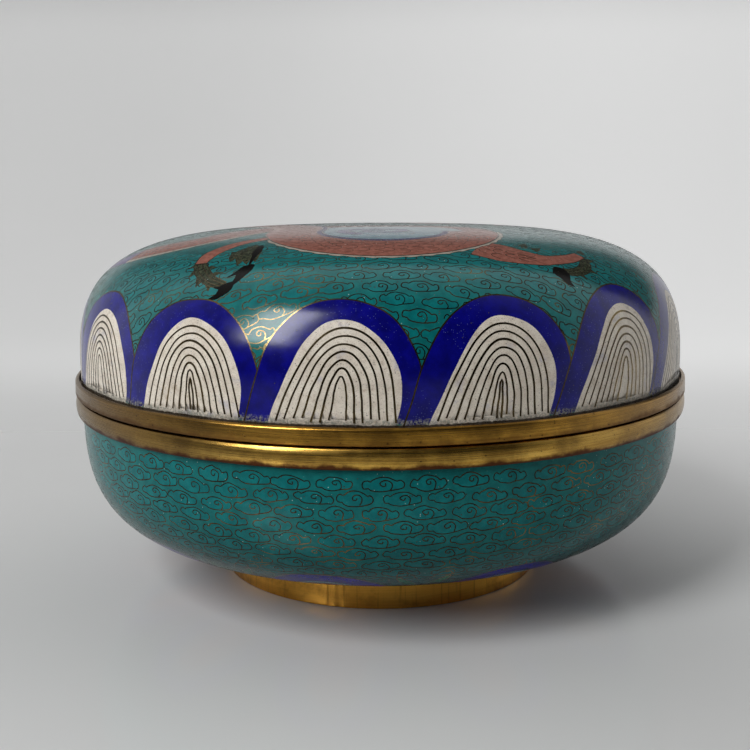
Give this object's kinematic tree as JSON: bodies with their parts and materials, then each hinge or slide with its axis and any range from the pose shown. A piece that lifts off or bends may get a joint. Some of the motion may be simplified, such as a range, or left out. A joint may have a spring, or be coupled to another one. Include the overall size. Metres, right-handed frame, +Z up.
{
  "type": "cloisonne enamel box",
  "caption": "Round lidded box of enamelled copper with brass rims and a brass foot ring; the domed lid lifts off the hollow bowl.",
  "frame": {"origin": "centre of the foot ring's underside, where the box stands", "axes": "+Z up along the axis of rotation; -Y is the side seen from the front, +X to its right"},
  "size_m": [0.152, 0.152, 0.0857],
  "materials": {
    "lid_enamel": "polished cloisonne enamel, turquoise ground with blue, white and red cells, light pitting",
    "bowl_enamel": "polished cloisonne enamel, turquoise ground with cloud wires, light pitting",
    "rim_brass": "aged turned brass, rubbed bright on the edges, brown patina in the hollows",
    "foot_brass": "aged brass strip, satin, brown patina"
  },
  "bodies": {
    "root": {"foot_ring": "foot_brass", "bowl_shell": "bowl_enamel", "bowl_rim": "rim_brass", "lid_rim": "rim_brass", "lid_shell": "lid_enamel"}
  },
  "joints": []
}
